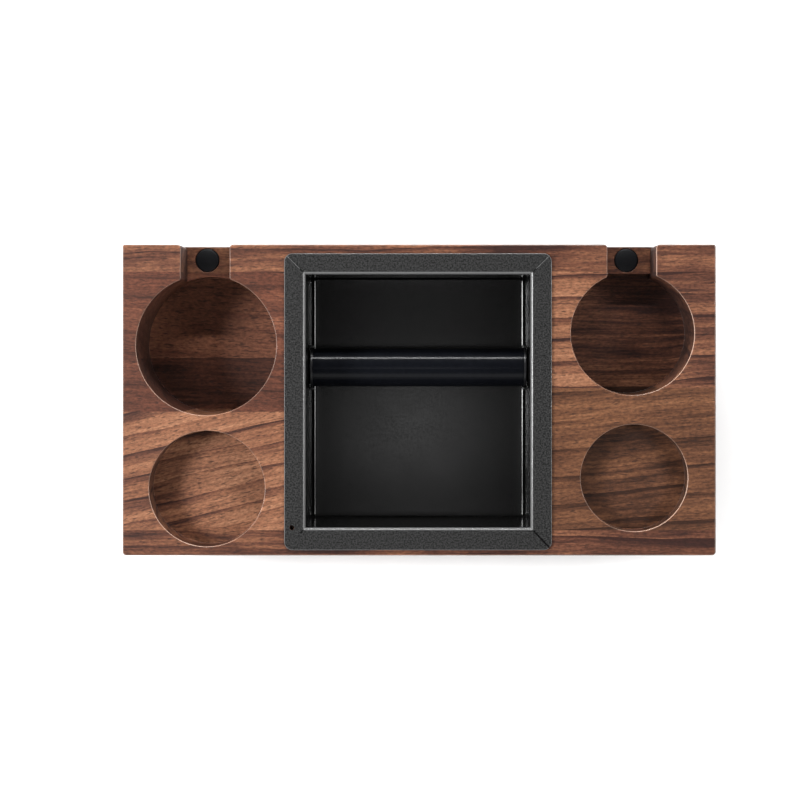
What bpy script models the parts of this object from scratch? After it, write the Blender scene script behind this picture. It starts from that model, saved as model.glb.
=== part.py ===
"""A walnut knock box for an espresso bar: a glued block with four pockets, and a steel tray with a knock bar.

Metres, +Z up. The origin is the middle of the footprint, on the surface that the feet stand on. +X runs along
the block, and +Y points to its back edge, where the two portafilter handles come out through notches.
"""

import math

import bmesh
import bpy

GAP = 0.0003  # left between pieces that touch

# The block, glued from a front rail, a rear rail and three staves on each side of the tray
BLOCK_LENGTH = 0.310
BLOCK_DEPTH = 0.1625
BLOCK_TOP = 0.070
EDGE_CHAMFER = 0.0006
LEFT_JOINTS = (-0.0061, 0.0215)  # where the left staves meet, along Y
RIGHT_JOINTS = (0.0062, 0.0347)

# Pockets in the block: centre x, centre y, radius, depth
LEFT_CRADLE = (-0.1113, 0.0286, 0.0366, 0.047)  # for a 58 mm portafilter
RIGHT_CRADLE = (0.1115, 0.0348, 0.0322, 0.038)  # for a 54 mm portafilter
LEFT_DISH = (-0.1109, -0.0463, 0.0302, 0.0165)  # for a 58 mm tamper
RIGHT_DISH = (0.1123, -0.0407, 0.0279, 0.0105)  # for a 54 mm tamper or leveller
POCKET_SIDES = 72

# Notches for the handles, and the rubber rest let into each notch floor
NOTCH_WIDTH = 0.0255
NOTCH_DEPTH = 0.028
LEFT_NOTCH_X = -0.1118
RIGHT_NOTCH_X = 0.1111
LEFT_REST_X = -0.1138
RIGHT_REST_X = 0.1110
REST_RADIUS = 0.0062
REST_STANDS = 0.0010
REST_SINKS = 0.0050

# The tray, folded from one sheet, hangs in the block by its flange
TRAY_X = -0.0006
TRAY_Y = -0.0005
TRAY_INSIDE = (0.1172, 0.1320)
TRAY_DEPTH = 0.060
SHEET = 0.0010
RIM_BEND = 0.0008  # inside radius of the fold between wall and flange
FLOOR_BEND = 0.0015
FLANGE_SIDE = 0.0112
FLANGE_REAR = 0.0110
FLANGE_FRONT = 0.0118
FLANGE_CORNER = 0.0043
WALL_CORNER = 0.0005
SIDE_CLEARANCE = 0.0008  # between the tray's walls and the staves
RAIL_CLEARANCE = 0.0005
HANGING_HOLE = (-0.0658, -0.0660, 0.0013)  # x and y from the tray's centre, radius
BEND_STEPS = 5
CORNER_STEPS = 6

# The knock bar, laid across the tray in two U-shaped cradles
BAR_Y = 0.0166
BAR_BELOW_TOP = 0.030
BAR_RADIUS = 0.0102
BAR_END_CLEARANCE = 0.0008
CORE_RADIUS = 0.0060
CORE_BORE = 0.0045
CAP_THICKNESS = 0.0014
SPIGOT_LENGTH = 0.008
CRADLE_STRIP = 0.0016
CRADLE_WIDTH = 0.0024
CRADLE_ARM = 0.0045  # how far the arms rise above the bar's axis
CRADLE_STEPS = 16
BAR_SIDES = 40

# Feet, each held by one screw
FOOT_HEIGHT = 0.004
FOOT_RADIUS = 0.009
FOOT_X = 0.141
FOOT_Y = 0.056
SHANK_RADIUS = 0.0017
SHANK_LENGTH = 0.012
HEAD_RADIUS = 0.0035
HEAD_HEIGHT = 0.0015
HEAD_RECESS = 0.0022
HEAD_CLEARANCE = 0.0004  # from the standing surface to the head
SMALL_SIDES = 32

OVERSHOOT = 0.004  # how far a cutter runs past the face that it opens
SMOOTH_ANGLE = math.radians(35)

REAR_RAIL_FACE = TRAY_Y + TRAY_INSIDE[1] / 2 + SHEET + RAIL_CLEARANCE
FRONT_RAIL_FACE = TRAY_Y - TRAY_INSIDE[1] / 2 - SHEET - RAIL_CLEARANCE
LEFT_STAVE_FACE = TRAY_X - TRAY_INSIDE[0] / 2 - SHEET - SIDE_CLEARANCE
RIGHT_STAVE_FACE = TRAY_X + TRAY_INSIDE[0] / 2 + SHEET + SIDE_CLEARANCE
REST_Y = (REAR_RAIL_FACE + BLOCK_DEPTH / 2) / 2
NOTCH_FLOOR = BLOCK_TOP - NOTCH_DEPTH
FLANGE_TOP = BLOCK_TOP + GAP + SHEET


def clear_scene():
    for thing in list(bpy.data.objects):
        bpy.data.objects.remove(thing, do_unlink=True)


def finish(name, colour, roughness, metallic=0.0):
    made = bpy.data.materials.new(name)
    made.use_nodes = True
    shader = made.node_tree.nodes["Principled BSDF"]
    shader.inputs["Base Color"].default_value = (*colour, 1.0)
    shader.inputs["Roughness"].default_value = roughness
    shader.inputs["Metallic"].default_value = metallic
    return made


def finishes():
    return {
        "walnut_dark": finish("walnut_dark", (0.13, 0.065, 0.036), 0.5),
        "walnut_brown": finish("walnut_brown", (0.17, 0.085, 0.045), 0.5),
        "walnut_tan": finish("walnut_tan", (0.24, 0.125, 0.062), 0.5),
        "powder_coat": finish("powder_coat", (0.045, 0.046, 0.048), 0.55),
        "rubber": finish("rubber", (0.02, 0.02, 0.022), 0.6),
        "moulded_plastic": finish("moulded_plastic", (0.025, 0.025, 0.027), 0.45),
        "steel": finish("steel", (0.55, 0.55, 0.56), 0.35, 1.0),
    }


def skin(rings, loop=False):
    """Join a row of point rings into one closed mesh. A ring of one point is a pole; end rings get a cap."""
    mesh = bmesh.new()
    rows = [[mesh.verts.new(point) for point in ring] for ring in rings]
    pairs = list(zip(rows, rows[1:]))
    if loop:
        pairs.append((rows[-1], rows[0]))
    for first, second in pairs:
        count = max(len(first), len(second))
        for i in range(count):
            j = (i + 1) % count
            near = [first[i % len(first)], first[j % len(first)]]
            far = [second[j % len(second)], second[i % len(second)]]
            mesh.faces.new(list(dict.fromkeys(near + far)))
    if not loop:
        for row in (rows[0], rows[-1]):
            if len(row) > 1:
                mesh.faces.new(row)
    bmesh.ops.recalc_face_normals(mesh, faces=mesh.faces)
    return mesh


def circle(radius, height, sides):
    if radius == 0:
        return [(0, 0, height)]
    angles = [2 * math.pi * i / sides for i in range(sides)]
    return [(radius * math.cos(a), radius * math.sin(a), height) for a in angles]


def turned(profile, sides, loop=False):
    """A solid of revolution about Z from (radius, height) points."""
    return skin([circle(radius, height, sides) for radius, height in profile], loop)


def rectangle(low, high, height):
    outline = ((low[0], low[1]), (high[0], low[1]), (high[0], high[1]), (low[0], high[1]))
    return [(x, y, height) for x, y in outline]


def box(low, high):
    return skin([rectangle(low, high, low[2]), rectangle(low, high, high[2])])


def rounded_rectangle(low, high, radius, height):
    points = []
    corners = (
        (high[0], high[1], 1, 1),
        (low[0], high[1], -1, 1),
        (low[0], low[1], -1, -1),
        (high[0], low[1], 1, -1),
    )
    for quarter, (x, y, side_x, side_y) in enumerate(corners):
        for step in range(CORNER_STEPS + 1):
            angle = math.pi / 2 * (quarter + step / CORNER_STEPS)
            reach_x = radius * (math.cos(angle) - side_x)
            reach_y = radius * (math.sin(angle) - side_y)
            points.append((x + reach_x, y + reach_y, height))
    return points


def place(name, mesh, material=None, parent=None, at=(0, 0, 0), turn=(0, 0, 0)):
    data = bpy.data.meshes.new(name)
    mesh.to_mesh(data)
    mesh.free()
    data.shade_smooth()
    data.set_sharp_from_angle(angle=SMOOTH_ANGLE)
    thing = bpy.data.objects.new(name, data)
    bpy.context.scene.collection.objects.link(thing)
    thing.parent = parent
    thing.location = at
    thing.rotation_euler = turn
    if material:
        data.materials.append(material)
    return thing


def cutter(name, mesh, parent=None, at=(0, 0, 0)):
    thing = place(name, mesh, parent=parent, at=at)
    thing.hide_render = True
    thing.display_type = "WIRE"
    return thing


def cut(thing, tool):
    step = thing.modifiers.new("cut_" + tool.name, "BOOLEAN")
    step.operation = "DIFFERENCE"
    step.solver = "EXACT"
    step.object = tool


def axis_marker(name, at, parent=None):
    marker = bpy.data.objects.new(name, None)
    bpy.context.scene.collection.objects.link(marker)
    marker.parent = parent
    marker.location = at
    return marker


def board(name, material, low_x, high_x, low_y, high_y):
    """One board of the block, with a chamfer on each edge where two outer faces of the block meet."""
    mesh = box((low_x, low_y, FOOT_HEIGHT), (high_x, high_y, BLOCK_TOP))
    outer = ((0, -BLOCK_LENGTH / 2), (0, BLOCK_LENGTH / 2), (1, -BLOCK_DEPTH / 2), (1, BLOCK_DEPTH / 2))
    outer += ((2, FOOT_HEIGHT), (2, BLOCK_TOP))
    eased = []
    for edge in mesh.edges:
        faces = [face for face in outer if all(abs(v.co[face[0]] - face[1]) < GAP / 10 for v in edge.verts)]
        if len(faces) > 1:
            eased.append(edge)
    bmesh.ops.bevel(mesh, geom=eased, offset=EDGE_CHAMFER, segments=1, affect="EDGES")
    return place(name, mesh, material)


def staves(side, materials, low_x, high_x, joints):
    """The three staves between the rails on one side, front to back."""
    faces = (FRONT_RAIL_FACE, *joints, REAR_RAIL_FACE)
    names = [f"{side}_{where}_stave" for where in ("front", "middle", "rear")]
    half = GAP / 2
    return [
        board(name, material, low_x, high_x, low + half, high - half)
        for name, material, low, high in zip(names, materials, faces, faces[1:])
    ]


def pocket_cutter(name, pocket):
    x, y, radius, depth = pocket
    profile = ((0, -depth), (radius, -depth), (radius, OVERSHOOT), (0, OVERSHOOT))
    return cutter(name, turned(profile, POCKET_SIDES), at=(x, y, BLOCK_TOP))


def slot_cutter(name, centre_x, low_y, high_y, floor):
    low = (centre_x - NOTCH_WIDTH / 2, low_y, floor)
    high = (centre_x + NOTCH_WIDTH / 2, high_y, BLOCK_TOP + OVERSHOOT)
    return cutter(name, box(low, high))


def make_block(look):
    edge_x = BLOCK_LENGTH / 2
    edge_y = BLOCK_DEPTH / 2
    half = GAP / 2
    rear_rail = board("rear_rail", look["walnut_dark"], -edge_x, edge_x, REAR_RAIL_FACE + half, edge_y)
    front_rail = board("front_rail", look["walnut_brown"], -edge_x, edge_x, -edge_y, FRONT_RAIL_FACE - half)
    left_looks = [look["walnut_tan"], look["walnut_brown"], look["walnut_dark"]]
    right_looks = [look["walnut_brown"], look["walnut_tan"], look["walnut_tan"]]
    left = staves("left", left_looks, -edge_x, LEFT_STAVE_FACE, LEFT_JOINTS)
    right = staves("right", right_looks, RIGHT_STAVE_FACE, edge_x, RIGHT_JOINTS)

    left_cradle = pocket_cutter("left_cradle_cutter", LEFT_CRADLE)
    right_cradle = pocket_cutter("right_cradle_cutter", RIGHT_CRADLE)
    left_dish = pocket_cutter("left_dish_cutter", LEFT_DISH)
    right_dish = pocket_cutter("right_dish_cutter", RIGHT_DISH)
    past_back = edge_y + OVERSHOOT
    left_notch = slot_cutter("left_notch_cutter", LEFT_NOTCH_X, LEFT_CRADLE[1], past_back, NOTCH_FLOOR)
    notch_front = REAR_RAIL_FACE - half
    right_notch = slot_cutter("right_notch_cutter", RIGHT_NOTCH_X, notch_front, past_back, NOTCH_FLOOR)
    right_floor = BLOCK_TOP - RIGHT_CRADLE[3]
    slot_back = REAR_RAIL_FACE + half
    right_slot = slot_cutter("right_slot_cutter", RIGHT_NOTCH_X, RIGHT_CRADLE[1], slot_back, right_floor)

    for stave in left:
        cut(stave, left_cradle)
    cut(left[2], left_notch)
    cut(left[0], left_dish)
    cut(front_rail, left_dish)
    for stave in right:
        cut(stave, right_cradle)
    cut(right[2], right_slot)
    cut(right[0], right_dish)
    cut(front_rail, right_dish)
    cut(rear_rail, left_notch)
    cut(rear_rail, right_notch)
    return {"rear_rail": rear_rail, "left": left, "right": right}


def make_rests(look, rear_rail):
    """The rubber plugs that the portafilter handles lie on, each in its own blind hole."""
    hole_floor = -REST_SINKS - GAP
    hole_wall = REST_RADIUS + GAP
    hole = ((0, hole_floor), (hole_wall, hole_floor), (hole_wall, OVERSHOOT), (0, OVERSHOOT))
    edge = REST_STANDS / 2
    plug = ((0, -REST_SINKS), (REST_RADIUS, -REST_SINKS), (REST_RADIUS, edge))
    plug += ((REST_RADIUS - edge, REST_STANDS), (0, REST_STANDS))
    for name, x in (("left_rest", LEFT_REST_X), ("right_rest", RIGHT_REST_X)):
        at = (x, REST_Y, NOTCH_FLOOR)
        cut(rear_rail, cutter(name + "_hole", turned(hole, SMALL_SIDES), at=at))
        place(name, turned(plug, SMALL_SIDES), look["rubber"], at=at)


def make_feet(look, block):
    wall = SHANK_RADIUS + GAP
    recess = HEAD_RADIUS + 2 * GAP
    top = FOOT_HEIGHT - GAP
    foot = ((FOOT_RADIUS - GAP, 0), (FOOT_RADIUS, GAP), (FOOT_RADIUS, top), (wall, top))
    foot += ((wall, HEAD_RECESS), (recess, HEAD_RECESS), (recess, 0))
    neck = HEAD_CLEARANCE + HEAD_HEIGHT
    tip = neck + SHANK_LENGTH
    screw = ((0, HEAD_CLEARANCE), (HEAD_RADIUS, HEAD_CLEARANCE), (HEAD_RADIUS, neck))
    screw += ((SHANK_RADIUS, neck), (SHANK_RADIUS, tip), (0, tip))
    pilot = ((0, -OVERSHOOT), (wall, -OVERSHOOT), (wall, tip + GAP), (0, tip + GAP))
    corners = (
        ("front_left", block["left"][0], -1, -1),
        ("rear_left", block["left"][2], -1, 1),
        ("front_right", block["right"][0], 1, -1),
        ("rear_right", block["right"][2], 1, 1),
    )
    for corner, stave, side_x, side_y in corners:
        at = (side_x * FOOT_X, side_y * FOOT_Y, 0)
        cut(stave, cutter(corner + "_pilot", turned(pilot, SMALL_SIDES), at=at))
        place(corner + "_foot", turned(foot, SMALL_SIDES, loop=True), look["rubber"], at=at)
        place(corner + "_foot_screw", turned(screw, SMALL_SIDES), look["steel"], at=at)


def bend(centre_out, centre_height, radius, start, stop):
    """Points of a fold, as (outset from the tray's inside face, height), from one angle to another."""
    angles = [math.radians(start + (stop - start) * i / BEND_STEPS) for i in range(BEND_STEPS + 1)]
    return [(centre_out + radius * math.cos(a), centre_height + radius * math.sin(a)) for a in angles]


def wall_ring(outset, height):
    half_x = TRAY_INSIDE[0] / 2 + outset
    half_y = TRAY_INSIDE[1] / 2 + outset
    radius = max(WALL_CORNER + outset, WALL_CORNER / 2)
    return rounded_rectangle((-half_x, -half_y), (half_x, half_y), radius, height)


def flange_ring(height):
    half_x = TRAY_INSIDE[0] / 2 + FLANGE_SIDE
    low_y = -TRAY_INSIDE[1] / 2 - FLANGE_FRONT
    high_y = TRAY_INSIDE[1] / 2 + FLANGE_REAR
    return rounded_rectangle((-half_x, low_y), (half_x, high_y), FLANGE_CORNER, height)


def make_tray(look, tray_axis):
    """Heights are from the top of the flange."""
    outer = RIM_BEND + SHEET
    floor = -TRAY_DEPTH
    low_bend = (-FLOOR_BEND, floor + FLOOR_BEND)
    inside = bend(*low_bend, FLOOR_BEND, -90, 0)
    inside += bend(outer, -outer, outer, 180, 90)
    outside = bend(outer, -outer, RIM_BEND, 90, 180)
    outside += bend(*low_bend, FLOOR_BEND + SHEET, 0, -90)
    rings = [wall_ring(*point) for point in inside]
    rings += [flange_ring(0), flange_ring(-SHEET)]
    rings += [wall_ring(*point) for point in outside]
    tray = place("knock_tray", skin(rings), look["powder_coat"], tray_axis)
    x, y, radius = HANGING_HOLE
    drill = ((0, -OVERSHOOT), (radius, -OVERSHOOT), (radius, OVERSHOOT), (0, OVERSHOOT))
    cut(tray, cutter("hanging_hole_cutter", turned(drill, SMALL_SIDES), tray_axis, (x, y, 0)))


def make_cradles(look, tray_axis, bar_at):
    """A strip bent to a U and welded on edge to each side wall."""
    inner = BAR_RADIUS + GAP
    outer = inner + CRADLE_STRIP
    path = [(1, 0, CRADLE_ARM)]
    for step in range(CRADLE_STEPS + 1):
        angle = math.pi * step / CRADLE_STEPS
        path.append((math.cos(angle), -math.sin(angle), 0))
    path.append((-1, 0, CRADLE_ARM))
    half = CRADLE_WIDTH / 2
    rings = []
    for along, down, rise in path:
        corners = ((-half, inner), (-half, outer), (half, outer), (half, inner))
        rings.append([(x, along * reach, down * reach + rise) for x, reach in corners])
    reach_x = TRAY_INSIDE[0] / 2 - GAP - half
    for name, side in (("left_bar_cradle", -1), ("right_bar_cradle", 1)):
        place(name, skin(rings), look["powder_coat"], tray_axis, (side * reach_x, bar_at[1], bar_at[2]))


def make_bar(look, bar_axis):
    """Modelled upright and laid along X. Heights are from the bar's middle."""
    half = TRAY_INSIDE[0] / 2 - BAR_END_CLEARANCE
    end = half - CAP_THICKNESS - GAP
    core = ((CORE_RADIUS, -end), (CORE_RADIUS, end), (CORE_BORE, end), (CORE_BORE, -end))
    sleeve = ((BAR_RADIUS, -end), (BAR_RADIUS, end), (CORE_RADIUS + GAP, end), (CORE_RADIUS + GAP, -end))
    spigot = CORE_BORE - GAP
    face = half - CAP_THICKNESS
    cap = ((0, face - SPIGOT_LENGTH), (spigot, face - SPIGOT_LENGTH), (spigot, face), (BAR_RADIUS, face))
    cap += ((BAR_RADIUS, half - GAP), (BAR_RADIUS - GAP, half), (0, half))
    along_x = (0, math.pi / 2, 0)
    place("bar_core", turned(core, SMALL_SIDES, loop=True), look["steel"], bar_axis, turn=along_x)
    place("bar_sleeve", turned(sleeve, BAR_SIDES, loop=True), look["rubber"], bar_axis, turn=along_x)
    place("right_bar_cap", turned(cap, BAR_SIDES), look["moulded_plastic"], bar_axis, turn=along_x)
    against_x = (0, -math.pi / 2, 0)
    place("left_bar_cap", turned(cap, BAR_SIDES), look["moulded_plastic"], bar_axis, turn=against_x)


def main():
    clear_scene()
    look = finishes()
    block = make_block(look)
    make_rests(look, block["rear_rail"])
    make_feet(look, block)
    tray_axis = axis_marker("tray_lift_axis", (TRAY_X, TRAY_Y, FLANGE_TOP))
    bar_at = (0, BAR_Y - TRAY_Y, BLOCK_TOP - BAR_BELOW_TOP - FLANGE_TOP)
    bar_axis = axis_marker("bar_lift_axis", bar_at, tray_axis)
    make_tray(look, tray_axis)
    make_cradles(look, tray_axis, bar_at)
    make_bar(look, bar_axis)


main()
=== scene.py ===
"""The looks of the espresso knock box: walnut boards, a powder-coated tray and a rubber knock bar.

Metres, +Z up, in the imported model's frame. Each visible piece is built here from finer meshes than the CAD
solids that it stands for, with its own procedural material, and it rides on the body of those solids.
"""

import math

import bmesh
import bpy
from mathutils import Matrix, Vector


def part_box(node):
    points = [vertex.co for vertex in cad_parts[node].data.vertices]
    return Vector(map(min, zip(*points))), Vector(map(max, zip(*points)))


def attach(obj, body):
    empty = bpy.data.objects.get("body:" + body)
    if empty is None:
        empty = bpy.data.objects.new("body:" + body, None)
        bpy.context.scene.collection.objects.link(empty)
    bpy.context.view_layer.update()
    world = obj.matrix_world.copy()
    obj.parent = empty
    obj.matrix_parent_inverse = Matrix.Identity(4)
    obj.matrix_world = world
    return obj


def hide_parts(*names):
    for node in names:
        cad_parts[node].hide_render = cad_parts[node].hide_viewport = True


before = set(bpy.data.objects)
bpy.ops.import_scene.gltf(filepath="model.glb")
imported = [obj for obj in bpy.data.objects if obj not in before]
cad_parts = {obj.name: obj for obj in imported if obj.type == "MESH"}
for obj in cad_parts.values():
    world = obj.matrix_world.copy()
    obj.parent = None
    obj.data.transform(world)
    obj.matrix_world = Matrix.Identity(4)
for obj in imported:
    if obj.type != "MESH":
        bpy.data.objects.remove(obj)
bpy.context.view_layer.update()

# Levels and faces that the frame gives
REAR_LOW, REAR_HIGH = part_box("rear_rail")
FRONT_LOW, FRONT_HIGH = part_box("front_rail")
LEFT_STAVE_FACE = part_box("left_front_stave")[1].x
RIGHT_STAVE_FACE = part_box("right_front_stave")[0].x
TRAY_LOW, TRAY_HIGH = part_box("knock_tray")
BAR_LOW, BAR_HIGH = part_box("bar_sleeve")
LEFT_CAP_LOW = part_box("left_bar_cap")[0]
RIGHT_CAP_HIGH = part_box("right_bar_cap")[1]
BLOCK_TOP = REAR_HIGH.z
BLOCK_BOTTOM = REAR_LOW.z
GLUE_HALF = (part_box("left_rear_stave")[0].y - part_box("left_middle_stave")[1].y) / 2
REAR_RAIL_FACE = REAR_LOW.y - GLUE_HALF
FRONT_RAIL_FACE = FRONT_HIGH.y + GLUE_HALF

# Pockets: centre x, centre y, radius, depth
LEFT_CRADLE = (-0.1113, 0.0286, 0.0366, 0.047)
RIGHT_CRADLE = (0.1115, 0.0348, 0.0322, 0.038)
LEFT_DISH = (-0.1109, -0.0463, 0.0302, 0.0165)
RIGHT_DISH = (0.1123, -0.0407, 0.0279, 0.0105)
POCKET_SIDES = 168
RIM_ROUND = 0.0006  # where a pocket's wall meets the top
FLOOR_ROUND = 0.0003  # where it meets the floor

NOTCH_WIDTH = 0.0255
NOTCH_DEPTH = 0.028
LEFT_NOTCH_X = -0.1118
RIGHT_NOTCH_X = 0.1111
JUNCTION_ROUND = 0.0014  # wood corners between a notch and its pocket
BACK_ROUND = 0.0020  # wood corners between a notch and the back
BOARD_ROUND = 0.0009  # edges around the block's top and underside
FRONT_CORNER = 0.0020  # radius down the block's upright corners
REAR_CORNER = 0.0012
ROUND_STEPS = 5
REST_GAP = 0.0002  # around each rubber rest
REST_HOLE_DEPTH = 0.004
OVERSHOOT = 0.004  # of cutters above the top
SLIVER = 0.000005  # edges shorter than this are leftovers of the Booleans

SHEET = 0.0010
TRAY_INSIDE = (0.1172, 0.1320)
TRAY_CENTRE = (-0.0006, -0.0005)
TRAY_DEPTH = 0.060
RIM_BEND = 0.0008
FLOOR_BEND = 0.0015  # outside, around the foot of the walls
SIDE_BEND = 0.0025  # inside, along the floor's two sides
LIP_ANGLE = math.radians(40)
GROOVE = 0.0009  # width of the groove between the floor and the walls
GROOVE_DEPTH = 0.00055
GROOVE_LIP = 0.0002
FLANGE_CORNER = 0.0043
FLANGE_EDGE = 0.0004
WALL_CORNER = 0.0002
HANGING_HOLE = (-0.0658, -0.0660)  # from the tray's centre
HOLE_RADIUS = 0.0013
PILOT_RADIUS = 0.0012
PILOT_DEPTH = 0.005
BEND_STEPS = 10
CORNER_STEPS = 8

SMOOTH_ANGLE = math.radians(40)


# ---------------------------------------------------------------- meshes

def skin(rings, loop=False):
    """Join a row of point rings into one closed mesh. A ring of one point is a pole. End rings get a cap."""
    mesh = bmesh.new()
    rows = [[mesh.verts.new(point) for point in ring] for ring in rings]
    pairs = list(zip(rows, rows[1:]))
    if loop:
        pairs.append((rows[-1], rows[0]))
    for first, second in pairs:
        count = max(len(first), len(second))
        for i in range(count):
            j = (i + 1) % count
            low = (first[i % len(first)], first[j % len(first)])
            high = (second[j % len(second)], second[i % len(second)])
            mesh.faces.new(list(dict.fromkeys(low + high)))
    if not loop:
        for row in (rows[0], rows[-1]):
            if len(row) > 1:
                mesh.faces.new(row)
    bmesh.ops.recalc_face_normals(mesh, faces=mesh.faces)
    return mesh


def circle(radius, height, sides):
    if radius == 0:
        return [(0, 0, height)]
    angles = [2 * math.pi * i / sides for i in range(sides)]
    return [(radius * math.cos(a), radius * math.sin(a), height) for a in angles]


def turned(profile, sides, loop=False):
    """A solid of revolution about Z from (radius, height) points."""
    return skin([circle(radius, height, sides) for radius, height in profile], loop)


def arc(centre_x, centre_y, radius, start, stop, steps):
    """Points of an arc between two angles in degrees."""
    angles = [math.radians(start + (stop - start) * i / steps) for i in range(steps + 1)]
    return [(centre_x + radius * math.cos(a), centre_y + radius * math.sin(a)) for a in angles]


def rectangle(low, high, height):
    corners_in_plan = ((low[0], low[1]), (high[0], low[1]), (high[0], high[1]), (low[0], high[1]))
    return [(x, y, height) for x, y in corners_in_plan]


def box(low, high):
    return skin([rectangle(low, high, low[2]), rectangle(low, high, high[2])])


def rounded_rectangle(low, high, radius, height):
    left, right = low[0] + radius, high[0] - radius
    front, rear = low[1] + radius, high[1] - radius
    points = []
    for quarter, centre in enumerate(((right, rear), (left, rear), (left, front), (right, front))):
        points += arc(*centre, radius, 90 * quarter, 90 * quarter + 90, CORNER_STEPS)
    return [(x, y, height) for x, y in points]


def round_node(node):
    """Centre in plan, lowest and highest levels, and radius of an upright round CAD node."""
    low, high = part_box(node)
    return (low.x + high.x) / 2, (low.y + high.y) / 2, low.z, high.z, (high.x - low.x) / 2


def place(name, mesh, at=(0, 0, 0), turn=(0, 0, 0)):
    data = bpy.data.meshes.new(name)
    mesh.to_mesh(data)
    mesh.free()
    thing = bpy.data.objects.new(name, data)
    bpy.context.scene.collection.objects.link(thing)
    thing.location = at
    thing.rotation_euler = turn
    return thing


def peg(name, radius, low, high, at):
    """An upright round cutter between two heights."""
    return place(name, turned([(0, low), (radius, low), (radius, high), (0, high)], 32), at=at)


def cut_away(thing, tools):
    """Cut each tool's shape out of the piece for good."""
    for tool in tools:
        step = thing.modifiers.new(tool.name, "BOOLEAN")
        step.operation = "DIFFERENCE"
        step.solver = "EXACT"
        step.object = tool
    bpy.context.view_layer.update()
    evaluated = thing.evaluated_get(bpy.context.evaluated_depsgraph_get())
    data = bpy.data.meshes.new_from_object(evaluated)
    mesh = bmesh.new()
    mesh.from_mesh(data)
    bmesh.ops.dissolve_degenerate(mesh, dist=SLIVER, edges=mesh.edges)
    mesh.to_mesh(data)
    mesh.free()
    thing.modifiers.clear()
    thing.data = data


def smooth(thing):
    """Smooth shading that keeps sharp edges and large flat faces flat."""
    thing.data.shade_smooth()
    thing.data.set_sharp_from_angle(angle=SMOOTH_ANGLE)
    step = thing.modifiers.new("flat_faces", "WEIGHTED_NORMAL")
    step.keep_sharp = True


def settle(thing, body, material, nodes):
    """Shade the piece, give it its material unless it has its own, and let it ride in place of CAD nodes."""
    smooth(thing)
    if material:
        thing.data.materials.clear()
        thing.data.materials.append(material)
    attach(thing, body)
    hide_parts(*nodes)
    return thing


# ---------------------------------------------------------------- materials

def add(tree, kind, inputs=None, **settings):
    """Add a node, set its options, and fill or link its inputs."""
    made = tree.nodes.new(kind)
    for key, value in settings.items():
        setattr(made, key, value)
    for key, value in (inputs or {}).items():
        if isinstance(value, bpy.types.NodeSocket):
            tree.links.new(value, made.inputs[key])
        else:
            made.inputs[key].default_value = value
    return made


def start_material(name):
    made = bpy.data.materials.new(name)
    made.use_nodes = True
    tree = made.node_tree
    shader = tree.nodes["Principled BSDF"]
    coords = add(tree, "ShaderNodeTexCoord").outputs["Object"]
    return made, tree, shader, coords


def maths(tree, operation, a, b=0.0, c=0.0):
    return add(tree, "ShaderNodeMath", {0: a, 1: b, 2: c}, operation=operation).outputs[0]


def stretched(tree, coords, scale, offset=(0, 0, 0), turn=(0, 0, 0)):
    inputs = {"Vector": coords, "Scale": scale, "Location": offset, "Rotation": turn}
    return add(tree, "ShaderNodeMapping", inputs, vector_type="POINT").outputs[0]


def noise(tree, vector, scale=1.0, detail=3.0, roughness=0.55):
    inputs = {"Vector": vector, "Scale": scale, "Detail": detail, "Roughness": roughness}
    return add(tree, "ShaderNodeTexNoise", inputs).outputs["Fac"]


def ramp(tree, factor, stops):
    made = add(tree, "ShaderNodeValToRGB", {"Fac": factor})
    band = made.color_ramp
    while len(band.elements) < len(stops):
        band.elements.new(0.5)
    for element, (position, colour) in zip(band.elements, stops):
        element.position = position
        element.color = (*colour, 1.0)
    return made.outputs["Color"]


def grey(value):
    return (value, value, value)


def fade(tree, factor, low, high, to_low=0.0, to_high=1.0):
    inputs = {"Value": factor, "From Min": low, "From Max": high, "To Min": to_low, "To Max": to_high}
    return add(tree, "ShaderNodeMapRange", inputs, clamp=True).outputs["Result"]


def mix_colour(tree, factor, a, b, blend="MIX"):
    made = add(tree, "ShaderNodeMix", {0: factor, 6: a, 7: b}, data_type="RGBA", blend_type=blend)
    return made.outputs[2]


def rounded_edge(tree, top):
    """How much a surface is a rounded edge: 0 on level and upright faces, and 1 on slopes up to a top one."""
    normal = tree.nodes["Texture Coordinate"].outputs["Normal"]
    rise = add(tree, "ShaderNodeSeparateXYZ", {0: normal}).outputs["Z"]
    slope = maths(tree, "ABSOLUTE", rise)
    return maths(tree, "MULTIPLY", fade(tree, slope, 0.25, 0.5), fade(tree, slope, top, 0.99, 1.0, 0.0))


def fit_shader(tree, shader, colour, gloss, shine, height, strength, distance):
    """Link the colour, the roughness and a bump, and set the specular level."""
    tree.links.new(colour, shader.inputs["Base Color"])
    tree.links.new(gloss, shader.inputs["Roughness"])
    shader.inputs["Specular IOR Level"].default_value = shine
    bump = add(tree, "ShaderNodeBump", {"Height": height, "Strength": strength, "Distance": distance})
    tree.links.new(bump.outputs[0], shader.inputs["Normal"])


# Walnut tones, from the darkest growth line to the palest streak
REDDISH = ((0.022, 0.007, 0.004), (0.070, 0.023, 0.013), (0.115, 0.039, 0.022), (0.200, 0.077, 0.042))
TAN = ((0.030, 0.010, 0.007), (0.105, 0.039, 0.022), (0.210, 0.088, 0.046), (0.330, 0.155, 0.085))
GOLDEN = ((0.026, 0.009, 0.004), (0.088, 0.035, 0.017), (0.150, 0.063, 0.030), (0.240, 0.112, 0.056))
# Colour of the pores, and of end grain that is painted darker with depth, as painted shade
PORE_AND_SHADE = (0.016, 0.007, 0.005, 1.0)
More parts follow.
